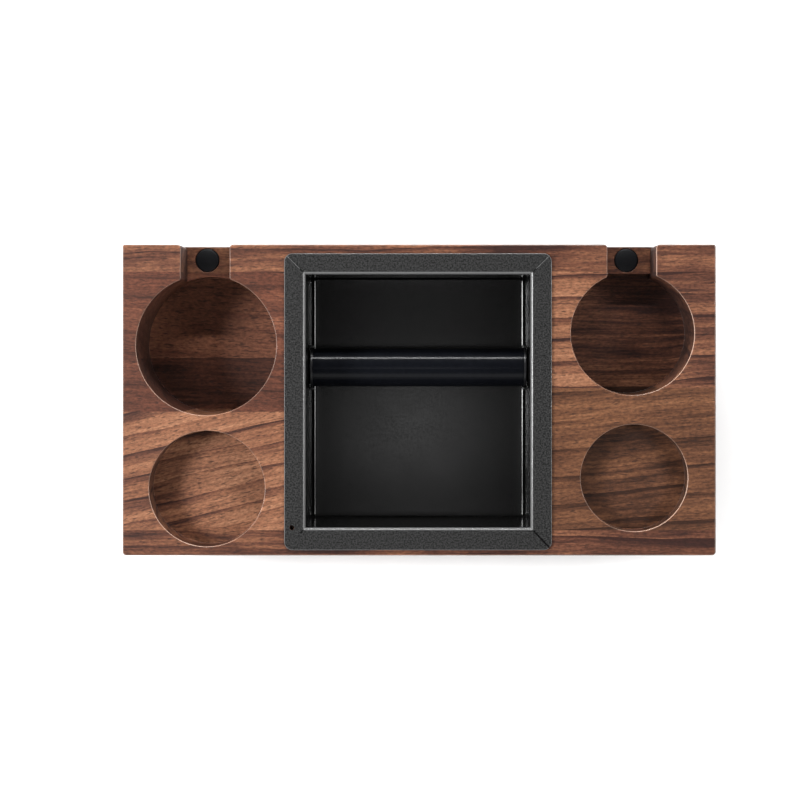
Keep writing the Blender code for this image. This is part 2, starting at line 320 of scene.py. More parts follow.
# Paler wood on the rounded pocket rims: lighter wear, with a painted highlight
WORN_WOOD_HIGHLIGHT = (0.50, 0.33, 0.25, 1.0)
HIGHLIGHT_HUB = (-0.03, 0.08, 0.07)  # pocket rims are painted palest, as a painted highlight, on their slopes that face this point
WANDER = 0.012  # of the growth lines
DEEP = 0.040  # below the top, where lines are painted faintest and end grain darkest, as painted shade
# Paler grey painted on the tray's folds near the rim: burnished coating, with a painted highlight
BURNISHED_HIGHLIGHT = (0.12, 0.12, 0.12, 1.0)

# Each board's palette, line spacing and strength, tilt in degrees and pith axis (y, z), then how far its
# lines are shifted and how its tone leans along X, is lifted, and falls with depth as painted shade (where deep
# is negative, it rises as painted light)
FIGURES = {
    "rear_rail": (TAN, 0.0160, 0.45, -0.5, (-0.20, -0.15), 0.0059, -0.5, -0.12),
    "front_rail": (TAN, 0.0085, 0.55, 1.5, (-0.22, 0.01), 0.002, -0.5, -0.18),
    "left_front": (TAN, 0.0105, 0.65, -13, (-0.26, 0.0), -0.0074, 2.6, 0.458),
    "left_middle": (REDDISH, 0.0120, 0.25, 2, (-0.22, 0.0), 0.001, 0.5, -0.06, 1.0),
    "left_rear": (REDDISH, 0.0110, 0.45, 2, (0.26, 0.0), 0.006, 0.0, 0.06, -9.0),
    "right_front": (GOLDEN, 0.0140, 0.40, -4, (-0.26, 0.0), 0.005, 0.16, -0.08, 14.0),
    "right_middle": (TAN, 0.0118, 0.85, -2, (-0.26, 0.0), 0.002, -3.4, 0.415, 5.0),
    "right_rear": (TAN, 0.0115, 0.80, -1, (-0.26, 0.0), 0.007, -4.0, 0.45, 7.5),
}


def ring_distance(tree, grain, shift):
    """Distance from the pith axis, with a slow drift along the board."""
    split = add(tree, "ShaderNodeSeparateXYZ", {0: grain})
    across, down = split.outputs["Y"], split.outputs["Z"]
    square = maths(tree, "MULTIPLY_ADD", down, down, maths(tree, "MULTIPLY", across, across))
    radius = maths(tree, "SQRT", square)
    drift = noise(tree, stretched(tree, grain, (8, 26, 26), (shift * 300, 0, 0)))
    return maths(tree, "MULTIPLY_ADD", drift, WANDER, maths(tree, "ADD", radius, shift))


def growth_lines(tree, ring, spacing, line):
    """Dark lines of uneven strength. Each is sharp on one side and fades out on the other."""
    phase = maths(tree, "DIVIDE", ring, spacing)
    rise = maths(tree, "POWER", maths(tree, "FRACT", phase), 4.0)
    number = {"W": maths(tree, "FLOOR", phase)}
    force = add(tree, "ShaderNodeTexWhiteNoise", number, noise_dimensions="1D").outputs["Value"]
    return maths(tree, "MULTIPLY", rise, fade(tree, force, 0.0, 1.0, 0.45 * line, line))


def streaks(tree, grain, ring, shift):
    """Fine streaks that follow the growth lines."""
    split = add(tree, "ShaderNodeSeparateXYZ", {0: grain})
    along = maths(tree, "MULTIPLY", split.outputs["X"], 15.0)
    layer = maths(tree, "MULTIPLY_ADD", split.outputs["Z"], 130.0, shift * 900)
    flow = add(tree, "ShaderNodeCombineXYZ", {0: along, 1: maths(tree, "MULTIPLY", ring, 380.0), 2: layer})
    return noise(tree, flow.outputs[0], 1.0, 5.0, 0.72)


def depth_inside(tree, coords):
    """Depth below the top within the block, and 0 at its end faces and its underside."""
    spot = add(tree, "ShaderNodeSeparateXYZ", {0: coords})
    level = spot.outputs["Z"]
    end = REAR_HIGH.x
    indoors = fade(tree, maths(tree, "ABSOLUTE", spot.outputs["X"]), end - 0.006, end - 0.001, 1.0, 0.0)
    indoors = maths(tree, "MULTIPLY", indoors, fade(tree, level, BLOCK_BOTTOM, BLOCK_BOTTOM + 0.010))
    return maths(tree, "MULTIPLY", maths(tree, "SUBTRACT", BLOCK_TOP, level), indoors)


def rim_wear_and_highlight(tree, coords):
    """How much each rounded edge at the top shows wear, and how pale it is painted: lighter wood for the wear,
    and a painted highlight that is palest on slopes facing a given point.
    """
    level = add(tree, "ShaderNodeSeparateXYZ", {0: coords}).outputs["Z"]
    near_top = fade(tree, level, BLOCK_TOP - 0.002, BLOCK_TOP - 0.001)
    wear_and_sheen = maths(tree, "MULTIPLY", rounded_edge(tree, 0.90), near_top)
    normal = tree.nodes["Texture Coordinate"].outputs["Normal"]
    inward = add(tree, "ShaderNodeVectorMath", {0: HIGHLIGHT_HUB, 1: coords}, operation="SUBTRACT").outputs[0]
    dot = add(tree, "ShaderNodeVectorMath", {0: inward, 1: normal}, operation="DOT_PRODUCT")
    return wear_and_sheen, fade(tree, dot.outputs["Value"], 0.055, 0.115, 0.16, 0.72)


def walnut(name, palette, spacing, line, tilt, pith, shift, lean, lift, deep=0.0):
    """Oiled walnut. Growth lines run along X, a spacing apart about a pith axis at (y, z), and turned by tilt
    degrees in plan. The tone leans along X. Inside the block it also changes with depth below the top, as
    painted shade (as painted light where deep is negative), and there lines are painted fainter and end grain
    darker, as painted shade."""
    made, tree, shader, coords = start_material(name)
    grain = stretched(tree, coords, (1, 1, 1), (0, -pith[0], -pith[1]), (0, 0, math.radians(tilt)))
    along = add(tree, "ShaderNodeSeparateXYZ", {0: grain}).outputs["X"]
    ring = ring_distance(tree, grain, shift)
    sunk = depth_inside(tree, coords)
    # Painted shade: growth lines grow fainter with depth below the top
    faint = fade(tree, sunk, 0.0, DEEP, 1.0, max(0.3, 1.0 - 0.12 * abs(deep)))
    dark_line = maths(tree, "MULTIPLY", growth_lines(tree, ring, spacing, line), faint)
    streak = streaks(tree, grain, ring, shift)
    patch = noise(tree, stretched(tree, grain, (20, 48, 48)), 1.0, 2.0)
    mottle = noise(tree, stretched(tree, grain, (430, 900, 900)), 1.0, 2.0, 0.6)
    dash = noise(tree, stretched(tree, grain, (230, 1500, 1500)), 1.0, 1.0, 0.4)
    pore = fade(tree, dash, 0.60, 0.70)
    tone = maths(tree, "MULTIPLY_ADD", along, lean, 0.5 + lift)
    # Painted shade: the tone falls with depth below the top; where deep is negative it rises, as painted light
    tone = maths(tree, "MULTIPLY_ADD", sunk, -deep, tone)
    tone = maths(tree, "MULTIPLY_ADD", maths(tree, "SUBTRACT", streak, 0.5), 1.7, tone)
    tone = maths(tree, "MULTIPLY_ADD", maths(tree, "SUBTRACT", patch, 0.5), 0.8, tone)
    tone = maths(tree, "SUBTRACT", tone, dark_line)
    colour = ramp(tree, tone, tuple(zip((0.0, 0.30, 0.60, 1.0), palette)))
    fleck = ramp(tree, mottle, ((0.30, grey(0.45)), (0.70, grey(1.0))))
    colour = mix_colour(tree, 1.0, colour, fleck, "MULTIPLY")
    colour = mix_colour(tree, maths(tree, "MULTIPLY", pore, 0.70), colour, PORE_AND_SHADE)
    normal = tree.nodes["Texture Coordinate"].outputs["Normal"]
    facing = add(tree, "ShaderNodeSeparateXYZ", {0: normal}).outputs["X"]
    end_grain = fade(tree, maths(tree, "ABSOLUTE", facing), 0.35, 0.95)
    # End grain is darker, and painted darker still with depth, as painted shade
    end_grain_and_shade = maths(tree, "MULTIPLY", end_grain, fade(tree, sunk, 0.0, DEEP, 0.36, 0.76))
    colour = mix_colour(tree, end_grain_and_shade, colour, PORE_AND_SHADE)
    # Pocket rims painted paler: lighter wear, and a painted highlight on slopes facing a given point
    wear_and_sheen, highlight_paleness = rim_wear_and_highlight(tree, coords)
    colour = mix_colour(tree, maths(tree, "MULTIPLY", wear_and_sheen, highlight_paleness), colour, WORN_WOOD_HIGHLIGHT)
    satin = fade(tree, streak, 0.3, 0.7, 0.52, 0.42)
    satin = maths(tree, "MULTIPLY_ADD", end_grain, 0.25, satin)
    satin = maths(tree, "MULTIPLY_ADD", wear_and_sheen, -0.16, satin)
    height = maths(tree, "MULTIPLY_ADD", pore, -1.0, maths(tree, "MULTIPLY", mottle, 0.6))
    fit_shader(tree, shader, colour, satin, 0.22, height, 0.30, 0.00014)
    return made


def powder_coat(name, rim=None):
    """Black powder coating, smooth and painted dark down inside the box, as painted shade. Near the rim level,
    if there is one, it is gritty and painted lighter, as painted light on its grains, and its folds and edges
    are painted paler, as burnished coating with a painted highlight."""
    made, tree, shader, coords = start_material(name)
    grain = noise(tree, coords, 1200.0, 3.0, 0.75)
    wear_and_sheen = rounded_edge(tree, 0.93)
    # Painted shade: the coating's colour down inside the box is darker than near the rim
    colour = ramp(tree, grain, ((0.42, grey(0.0004)), (0.58, grey(0.0062))))
    cloud = fade(tree, noise(tree, coords, 60.0, 2.0), 0.3, 0.7, -0.008, 0.008)
    speck = fade(tree, noise(tree, coords, 900.0, 2.0, 0.6), 0.38, 0.62, 0.148, 0.192)
    satin = maths(tree, "ADD", speck, cloud)
    relief = fade(tree, wear_and_sheen, 0.0, 1.0, 0.20, 0.02)
    if rim is not None:
        level = add(tree, "ShaderNodeSeparateXYZ", {0: coords}).outputs["Z"]
        outside = fade(tree, level, rim - 0.0035, rim - 0.0010)
        # Painted light: near the rim the gritty coating is painted lighter, as light on its grains
        sandy_and_lit = ramp(tree, grain, ((0.42, grey(0.0015)), (0.58, grey(0.0290))))
        colour = mix_colour(tree, outside, colour, sandy_and_lit)
        # Folds and edges near the rim are painted paler: burnished coating, with a painted highlight
        rubbed_highlight = maths(tree, "MULTIPLY", wear_and_sheen, maths(tree, "MULTIPLY", outside, 0.75))
        colour = mix_colour(tree, rubbed_highlight, colour, BURNISHED_HIGHLIGHT)
        satin = maths(tree, "MULTIPLY_ADD", outside, 0.20, satin)
        satin = maths(tree, "MULTIPLY_ADD", maths(tree, "MULTIPLY", wear_and_sheen, outside), -0.14, satin)
        relief = maths(tree, "MULTIPLY", relief, fade(tree, outside, 0.0, 1.0, 1.0, 5.6))
    fit_shader(tree, shader, colour, satin, 0.25, maths(tree, "MULTIPLY", grain, relief), 0.45, 0.00012)
    return made


def burnished_seam_highlight():
    """The mitre lines, where the coating is scuffed thin, painted paler as burnished coating with a painted
    highlight.
    """
    made, tree, shader, coords = start_material("burnished_seam_highlight")
    rub = noise(tree, coords, 700.0, 2.0)
    tree.links.new(ramp(tree, rub, ((0.3, grey(0.05)), (0.7, grey(0.11)))), shader.inputs["Base Color"])
    tree.links.new(fade(tree, rub, 0.3, 0.7, 0.40, 0.30), shader.inputs["Roughness"])
    return made


def black_rubber(name, base, low_gloss, high_gloss, shine):
    """Moulded rubber or plastic with faint scuffs."""
    made, tree, shader, coords = start_material(name)
    speck = noise(tree, coords, 2600.0, 2.0, 0.5)
    scuff = noise(tree, stretched(tree, coords, (90, 420, 420)), 1.0, 4.0, 0.7)
    colour = ramp(tree, scuff, ((0.3, base), (0.75, tuple(channel * 1.5 for channel in base))))
    satin = fade(tree, scuff, 0.3, 0.7, low_gloss, high_gloss)
    fit_shader(tree, shader, colour, satin, shine, speck, 0.12, 0.00008)
    return made


def brushed_steel():
    made, tree, shader, coords = start_material("brushed_steel")
    lines = noise(tree, stretched(tree, coords, (2600, 2600, 90)), 1.0, 2.0)
    colour = ramp(tree, lines, ((0.3, grey(0.42)), (0.7, grey(0.62))))
    shader.inputs["Metallic"].default_value = 1.0
    fit_shader(tree, shader, colour, fade(tree, lines, 0.3, 0.7, 0.26, 0.40), 0.5, lines, 0.1, 0.00005)
    return made


# ---------------------------------------------------------------- the walnut block

def rim_profile(radius, depth):
    """A pocket cutter's profile: rounded where the floor meets the wall and where the wall meets the top."""
    low = arc(radius - FLOOR_ROUND, -depth + FLOOR_ROUND, FLOOR_ROUND, -90, 0, ROUND_STEPS)
    top = arc(radius + RIM_ROUND, -RIM_ROUND, RIM_ROUND, 180, 90, ROUND_STEPS)
    return [(0, -depth), *low, *top, (radius + RIM_ROUND, OVERSHOOT), (0, OVERSHOOT)]


def dish_cutter(name, pocket):
    x, y, radius, depth = pocket
    return place(name, turned(rim_profile(radius, depth), POCKET_SIDES), at=(x, y, BLOCK_TOP))


def well_cutter(name, pocket):
    """The part of a deep pocket below its notch."""
    x, y, radius, depth = pocket
    low = arc(radius - FLOOR_ROUND, -depth + FLOOR_ROUND, FLOOR_ROUND, -90, 0, ROUND_STEPS)
    top = -NOTCH_DEPTH + RIM_ROUND
    profile = [(0, -depth), *low, (radius, top), (0, top)]
    return place(name, turned(profile, POCKET_SIDES), at=(x, y, BLOCK_TOP))


def keyhole(pocket, notch_x, grow):
    """A pocket and its notch in plan, with rounded wood corners, grown outward by a small distance."""
    x, y, radius, _ = pocket
    half = NOTCH_WIDTH / 2
    sides = {}
    for side in (1, -1):
        corner_x = notch_x + side * (half + JUNCTION_ROUND)
        corner_y = y + math.sqrt((radius + JUNCTION_ROUND) ** 2 - (corner_x - x) ** 2)
        touch = math.degrees(math.atan2(corner_y - y, corner_x - x))
        flat = 180 if side > 0 else 0
        junction = arc(corner_x, corner_y, JUNCTION_ROUND - grow, touch + side * 180, flat, ROUND_STEPS)
        back_x = notch_x + side * (half + BACK_ROUND)
        back = arc(back_x, REAR_HIGH.y - BACK_ROUND, BACK_ROUND - grow, flat, 90, ROUND_STEPS)
        sides[side] = (touch, junction + back + [(back_x, REAR_HIGH.y + OVERSHOOT)])
    bowl = arc(x, y, radius + grow, sides[-1][0], sides[1][0] + 360, POCKET_SIDES)
    return bowl + sides[1][1] + sides[-1][1][::-1]


def keyhole_cutter(name, pocket, notch_x):
    rim = arc(RIM_ROUND, -RIM_ROUND, RIM_ROUND, 180, 90, ROUND_STEPS)
    rings = []
    for grow, height in ((0.0, -NOTCH_DEPTH), *rim, (RIM_ROUND, OVERSHOOT)):
        rings.append([(x, y, BLOCK_TOP + height) for x, y in keyhole(pocket, notch_x, grow)])
    return place(name, skin(rings))


def slot_cutter(name):
    """The squared-off end of the right pocket, between the notch walls and the rear rail."""
    low = (RIGHT_NOTCH_X - NOTCH_WIDTH / 2, RIGHT_CRADLE[1], BLOCK_TOP - RIGHT_CRADLE[3])
    high = (RIGHT_NOTCH_X + NOTCH_WIDTH / 2, REAR_RAIL_FACE + RIM_ROUND, BLOCK_TOP - NOTCH_DEPTH + RIM_ROUND)
    return place(name, box(low, high))


def rest_hole_cutter(name, node):
    x, y, _, _, radius = round_node(node)
    radius += REST_GAP
    rim = 0.0003
    above = 0.001
    profile = [(0, -REST_HOLE_DEPTH), (radius, -REST_HOLE_DEPTH)]
    profile += arc(radius + rim, -rim, rim, 180, 90, ROUND_STEPS)
    profile += [(radius + rim, above), (0, above)]
    return place(name, turned(profile, 72), at=(x, y, BLOCK_TOP - NOTCH_DEPTH))


def lies_on(part, axis, level):
    return all(abs(vertex.co[axis] - level) < 1e-5 for vertex in part.verts)


def is_block_side(face):
    """Whether a board's upright face belongs to the outside of the block, and not to a glued joint."""
    if abs(face.normal.z) > 0.5:
        return False
    turned_away = min(abs(face.normal.x), abs(face.normal.y)) > 0.01
    sides = ((0, REAR_LOW.x), (0, REAR_HIGH.x), (1, FRONT_LOW.y), (1, REAR_HIGH.y))
    return turned_away or any(lies_on(face, axis, level) for axis, level in sides)


def ease_edges(mesh):
    """Round the upright corners of the block, then the edges around its top and its underside."""
    for x in (REAR_LOW.x, REAR_HIGH.x):
        for y, radius in ((FRONT_LOW.y, FRONT_CORNER), (REAR_HIGH.y, REAR_CORNER)):
            upright = [edge for edge in mesh.edges if lies_on(edge, 0, x) and lies_on(edge, 1, y)]
            if upright:
                bmesh.ops.bevel(mesh, geom=upright, offset=radius, segments=6, profile=0.5, affect="EDGES")
    mesh.normal_update()
    around = []
    for edge in mesh.edges:
        if lies_on(edge, 2, BLOCK_TOP) or lies_on(edge, 2, BLOCK_BOTTOM):
            if any(is_block_side(face) for face in edge.link_faces):
                around.append(edge)
    bmesh.ops.bevel(mesh, geom=around, offset=BOARD_ROUND, segments=4, profile=0.5, affect="EDGES")


def board(node, low_x, high_x, low_y, high_y, tools, material):
    mesh = box((low_x, low_y, BLOCK_BOTTOM), (high_x, high_y, BLOCK_TOP))
    ease_edges(mesh)
    thing = place("walnut_" + node, mesh)
    cut_away(thing, tools)
    settle(thing, "block", material, [node])


def joint_levels(side):
    """Where one side's three staves begin and end, from the front rail to the rear rail."""
    low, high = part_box(side + "_middle_stave")
    return (FRONT_RAIL_FACE, low.y - GLUE_HALF, high.y + GLUE_HALF, REAR_RAIL_FACE)


def make_block():
    """The two rails, then three staves on each side of the tray opening, cut by the same tools."""
    left_key = keyhole_cutter("left_key", LEFT_CRADLE, LEFT_NOTCH_X)
    right_key = keyhole_cutter("right_key", RIGHT_CRADLE, RIGHT_NOTCH_X)
    left_well = well_cutter("left_well", LEFT_CRADLE)
    right_well = well_cutter("right_well", RIGHT_CRADLE)
    left_dish = dish_cutter("left_dish", LEFT_DISH)
    right_dish = dish_cutter("right_dish", RIGHT_DISH)
    slot = slot_cutter("right_slot")
    rests = [rest_hole_cutter(node + "_hole", node) for node in ("left_rest", "right_rest")]
    pilot_at = (TRAY_CENTRE[0] + HANGING_HOLE[0], TRAY_CENTRE[1] + HANGING_HOLE[1], BLOCK_TOP)
    pilot = peg("pilot", PILOT_RADIUS, -PILOT_DEPTH, 0.001, pilot_at)
    looks = {name: walnut("walnut_" + name, *figure) for name, figure in FIGURES.items()}
    full_x = (REAR_LOW.x, REAR_HIGH.x)
    rear_y = (REAR_RAIL_FACE, REAR_HIGH.y)
    front_y = (FRONT_LOW.y, FRONT_RAIL_FACE)
    board("rear_rail", *full_x, *rear_y, [left_key, right_key, *rests], looks["rear_rail"])
    board("front_rail", *full_x, *front_y, [left_dish, right_dish, pilot], looks["front_rail"])
    spans = {"left": (REAR_LOW.x, LEFT_STAVE_FACE), "right": (RIGHT_STAVE_FACE, REAR_HIGH.x)}
    tools = {
        "left_front": [left_dish, left_key, left_well, pilot],
        "left_middle": [left_key, left_well],
        "left_rear": [left_key, left_well],
        "right_front": [right_dish, right_key, right_well],
        "right_middle": [right_key, right_well],
        "right_rear": [right_key, right_well, slot],
    }
    for side, span in spans.items():
        levels = joint_levels(side)
        for i, where in enumerate(("front", "middle", "rear")):
            name = f"{side}_{where}"
            board(name + "_stave", *span, levels[i], levels[i + 1], tools[name], looks[name])
    for tool in (left_key, right_key, left_well, right_well, left_dish, right_dish, slot, pilot, *rests):
        bpy.data.objects.remove(tool)


def make_rests(rubber):
    """Round plugs with a slightly domed top."""
    edge = 0.0007
    dome = 0.0007
    for node in ("left_rest", "right_rest"):
        x, y, low, high, radius = round_node(node)
        tall = high - low
        reach = radius - edge
        profile = [(0, 0), (radius, 0), *arc(reach, tall - edge - dome, edge, 0, 70, ROUND_STEPS)]
        profile += [(reach * share, tall - dome * share ** 2) for share in (0.9, 0.7, 0.5, 0.3, 0.15)]
        profile.append((0, tall))
        plug = place("rubber_" + node, turned(profile, 72), at=(x, y, low))
        settle(plug, "block", rubber, [node])


def make_feet(rubber, steel):
    """Rubber rings with a stepped bore, each held by a screw."""
    edge = 0.0006
    recess, bore, step = 0.0041, 0.0020, 0.0022
    bevel = 0.0003
    for corner in ("front_left", "rear_left", "front_right", "rear_right"):
        x, y, low, high, radius = round_node(corner + "_foot")
        tall = high - low
        profile = arc(radius - edge, edge, edge, -90, 0, ROUND_STEPS)
        profile += [(radius, tall), (bore, tall), (bore, step)]
        profile += [(recess, step), (recess, bevel), (recess + bevel, 0)]
        foot = place(corner + "_rubber_foot", turned(profile, 72, loop=True), at=(x, y, 0))
        settle(foot, "block", rubber, [corner + "_foot"])
        make_screw(corner, x, y, steel)


def make_screw(corner, x, y, steel):
    """A pan-head screw seen from below, with a cross recess."""
    *_, low, high, head = round_node(corner + "_foot_screw")
    neck = low + 0.0015
    shank = 0.0017
    point = 0.003
    edge = 0.0005
    crown = 0.00003
    profile = [(0, low), (head * 0.5, low + crown)]
    profile += arc(head - edge, low + edge + 0.0001, edge, -70, 0, ROUND_STEPS)
    profile += [(head, neck), (shank, neck), (shank, high - point), (0, high)]
    screw = place(corner + "_screw", turned(profile, 48), at=(x, y, 0))
    blade_low, blade_high = (-0.0019, -0.0003, -0.001), (0.0019, 0.0003, low + 0.0009)
    blades = []
    for turn in (math.radians(20), math.radians(110)):
        blades.append(place("blade", box(blade_low, blade_high), at=(x, y, 0), turn=(0, 0, turn)))
    cut_away(screw, blades)
    for blade in blades:
        bpy.data.objects.remove(blade)
    settle(screw, "block", steel, [corner + "_foot_screw"])


# ---------------------------------------------------------------- the tray and its cradles

def wall_ring(outset, height, end_height=None):
    """A ring along the walls at one height, or at end_height along the front and rear walls."""
    half_x = TRAY_INSIDE[0] / 2 + outset
    half_y = TRAY_INSIDE[1] / 2 + outset
    ring = rounded_rectangle((-half_x, -half_y), (half_x, half_y), WALL_CORNER, height)
    if end_height is None:
        return ring
    for i, (x, y, _) in enumerate(ring):
        turned_to_end = (i % (CORNER_STEPS + 1)) / CORNER_STEPS
        if (i // (CORNER_STEPS + 1)) % 2:
            turned_to_end = 1 - turned_to_end
        ring[i] = (x, y, height + (end_height - height) * turned_to_end)
    return ring


def flange_ring(inset, height):
    low = (TRAY_LOW.x - TRAY_CENTRE[0] + inset, TRAY_LOW.y - TRAY_CENTRE[1] + inset)
    high = (TRAY_HIGH.x - TRAY_CENTRE[0] - inset, TRAY_HIGH.y - TRAY_CENTRE[1] - inset)
    return rounded_rectangle(low, high, FLANGE_CORNER - inset, height)


def tray_rings():
    """Heights are from the top of the flange. The first and last rings bound the floor's two faces. The floor
    curls up to a lip along its sides, and a groove runs between it and the walls."""
    outer = RIM_BEND + SHEET
    floor = -TRAY_DEPTH
    low_centre = (-FLOOR_BEND, floor + FLOOR_BEND)
    lip = arc(-GROOVE - SIDE_BEND * math.sin(LIP_ANGLE), floor + SIDE_BEND, SIDE_BEND, -90,
              -90 + math.degrees(LIP_ANGLE), BEND_STEPS)
    inside = [(outset, height, floor) for outset, height in lip]
    inside += [(-GROOVE / 2, floor - GROOVE_DEPTH, floor - GROOVE_DEPTH), (-GROOVE_LIP / 2, floor, floor)]
    inside += [(0.0, floor + GROOVE_LIP), *arc(outer, -outer, outer, 180, 90, BEND_STEPS)]
    outside = arc(outer, -outer, RIM_BEND, 90, 180, BEND_STEPS)
    outside += arc(*low_centre, FLOOR_BEND + SHEET, 0, -90, BEND_STEPS)
    edge = FLANGE_EDGE
    hem = arc(edge, -edge, edge, 90, 180, 3) + arc(edge, edge - SHEET, edge, 180, 270, 3)
    rings = [wall_ring(*point) for point in inside]
    rings += [flange_ring(inset, height) for inset, height in hem]
    rings += [wall_ring(*point) for point in outside]
    return rings


MITRE_OVERRUN = 0.0003  # of mitre cutters past the fold
MITRE_GROOVE = (0.0004, 0.0002, 0.05)  # width, depth, and the share of the width that its foot has
MITRE_GAP = (0.0009, 0.0009, 1.0)
RELIEF_SLOT = (0.0006, 0.0009, 1.0)
RELIEF_LENGTH = 0.0018


def mitre_cutter(name, inner, outer, width, depth, foot_share):
    """A groove along a mitre. It is V-shaped if its foot is narrow, and a slot if that is as wide as its top."""
    inner, outer = Vector(inner), Vector(outer)
    along = (outer - inner).normalized()
    side = Vector((-along.y, along.x)) * width / 2
    start = inner - along * MITRE_OVERRUN
    lift = 0.001
    spread = side * (1 + (1 - foot_share) * lift / depth)
    foot = side * foot_share
    rings = []
    for end in (start, outer):
        top = [(*(end - spread), lift), (*(end + spread), lift)]
        rings.append(top + [(*(end + foot), -depth), (*(end - foot), -depth)])
    return place(name, skin(rings), at=(*TRAY_CENTRE, TRAY_HIGH.z))


def mitre_tools(coat, seam_highlight):
    """Grooves along the mitres, painted bright at the rear as burnished coating with a painted highlight, and
    left open at the front right, and a short relief slot across the fold at each other corner."""
    fold = RIM_BEND + SHEET
    run_out = 0.003
    tools = []
    for side_x, side_y in ((-1, 1), (1, 1), (-1, -1), (1, -1)):
        inner = Vector((side_x * (TRAY_INSIDE[0] / 2 + fold), side_y * (TRAY_INSIDE[1] / 2 + fold)))
        edge_x = (TRAY_HIGH.x if side_x > 0 else TRAY_LOW.x) - TRAY_CENTRE[0]
        edge_y = (TRAY_HIGH.y if side_y > 0 else TRAY_LOW.y) - TRAY_CENTRE[1]
        corner = FLANGE_CORNER * (1 - math.sqrt(0.5)) - run_out * math.sqrt(0.5)
        outer = Vector((edge_x - side_x * corner, edge_y - side_y * corner))
        if side_y > 0:
            groove = mitre_cutter("mitre", inner, outer, *MITRE_GROOVE)
            for material in (coat, seam_highlight):
                groove.data.materials.append(material)
            groove.data.polygons.foreach_set("material_index", [1] * len(groove.data.polygons))
            tools.append(groove)
        if (side_x, side_y) == (1, -1):
            tools.append(mitre_cutter("mitre", inner, outer, *MITRE_GAP))
        else:
            along = (outer - inner).normalized()
            start, stop = inner - along * MITRE_OVERRUN, inner + along * RELIEF_LENGTH
            tools.append(mitre_cutter("relief", start, stop, *RELIEF_SLOT))
    return tools


def make_tray(coat, seam_highlight):
    """The coated sheet-metal box. The mitre lines at the rear corners are grooves, painted bright as burnished
    coating with a painted highlight.
    """
    tray = place("folded_tray", skin(tray_rings()), at=(*TRAY_CENTRE, TRAY_HIGH.z))
    for material in (coat, seam_highlight):
        tray.data.materials.append(material)
    tools = mitre_tools(coat, seam_highlight)
    hole_at = (TRAY_CENTRE[0] + HANGING_HOLE[0], TRAY_CENTRE[1] + HANGING_HOLE[1], TRAY_HIGH.z)
    tools.append(peg("hole", HOLE_RADIUS, -0.003, 0.003, hole_at))
    cut_away(tray, tools)
    for tool in tools:
        bpy.data.objects.remove(tool)
    settle(tray, "tray", None, ["knock_tray"])


def make_cradles(coat):
    """Strips bent into a U, with rounded edges."""
    thick = 0.0016
    bends = 36
    for node in ("left_bar_cradle", "right_bar_cradle"):
        low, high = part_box(node)
        outer = (high.y - low.y) / 2
        axis_z = low.z + outer
        half = (high.x - low.x) / 2
        arms = high.z - axis_z
        angles = [math.pi * i / bends for i in range(bends + 1)]
        path = [(1, 0, arms), *((math.cos(a), -math.sin(a), 0) for a in angles), (-1, 0, arms)]
        section = ((-half, outer - thick), (-half, outer), (half, outer), (half, outer - thick))
        rings = []
        for along, down, rise in path:
            rings.append([(x, along * reach, down * reach + rise) for x, reach in section])
        mesh = skin(rings)
        sharp = [edge for edge in mesh.edges if edge.calc_face_angle(0) > math.radians(60)]
        bmesh.ops.bevel(mesh, geom=sharp, offset=0.0003, segments=3, profile=0.5, affect="EDGES")
        thing = place(node + "_strip", mesh, at=((low.x + high.x) / 2, (low.y + high.y) / 2, axis_z))
        settle(thing, "tray", coat, [node])


# ---------------------------------------------------------------- the knock bar

def make_bar(rubber, plastic, steel):
    """Each piece is turned upright and laid along X."""
    middle = (LEFT_CAP_LOW + RIGHT_CAP_HIGH) / 2
    middle.y = (BAR_LOW.y + BAR_HIGH.y) / 2
    middle.z = (BAR_LOW.z + BAR_HIGH.z) / 2
    radius = (BAR_HIGH.y - BAR_LOW.y) / 2
    half = (RIGHT_CAP_HIGH.x - LEFT_CAP_LOW.x) / 2
    end = (BAR_HIGH.x - BAR_LOW.x) / 2
    core_low, core_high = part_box("bar_core")
    core = (core_high.y - core_low.y) / 2
    gap = 0.0003
    bore, plug, plug_length = 0.0045, 0.0042, 0.008
    edge = 0.00015
    reach = end + 0.00025
    sleeve = arc(radius - edge, -reach + edge, edge, -90, 0, 3)
    sleeve += arc(radius - edge, reach - edge, edge, 0, 90, 3)
    sleeve += [(core + gap, reach), (core + gap, -reach)]
    tube = [(core, -end), (core, end), (bore, end), (bore, -end)]
    face = end + gap
    cap_edge = 0.0005
    cap = [(0, face - plug_length), (plug, face - plug_length), (plug, face), (radius, face)]
    cap += [*arc(radius - cap_edge, half - cap_edge, cap_edge, 0, 90, ROUND_STEPS), (0, half)]
    along_x = (0, math.pi / 2, 0)
    against_x = (0, -math.pi / 2, 0)
    thing = place("rubber_sleeve", turned(sleeve, 96, loop=True), middle, along_x)
    settle(thing, "knock_bar", rubber, ["bar_sleeve"])
    thing = place("steel_core", turned(tube, 64, loop=True), middle, along_x)
    settle(thing, "knock_bar", steel, ["bar_core"])
    for side, turn in (("right", along_x), ("left", against_x)):
        thing = place(side + "_end_cap", turned(cap, 96), middle, turn)
        settle(thing, "knock_bar", plastic, [side + "_bar_cap"])


# ---------------------------------------------------------------- the studio

CAMERA_HEIGHT = 1.0  # above the block's top
FRAME_WIDTH = 0.4177  # of the picture, at the block's top
VIEW_MIDDLE = (-0.0100, 0.0)
CAMERA_AT = (0.0056, 0.0300)
SENSOR = 36.0


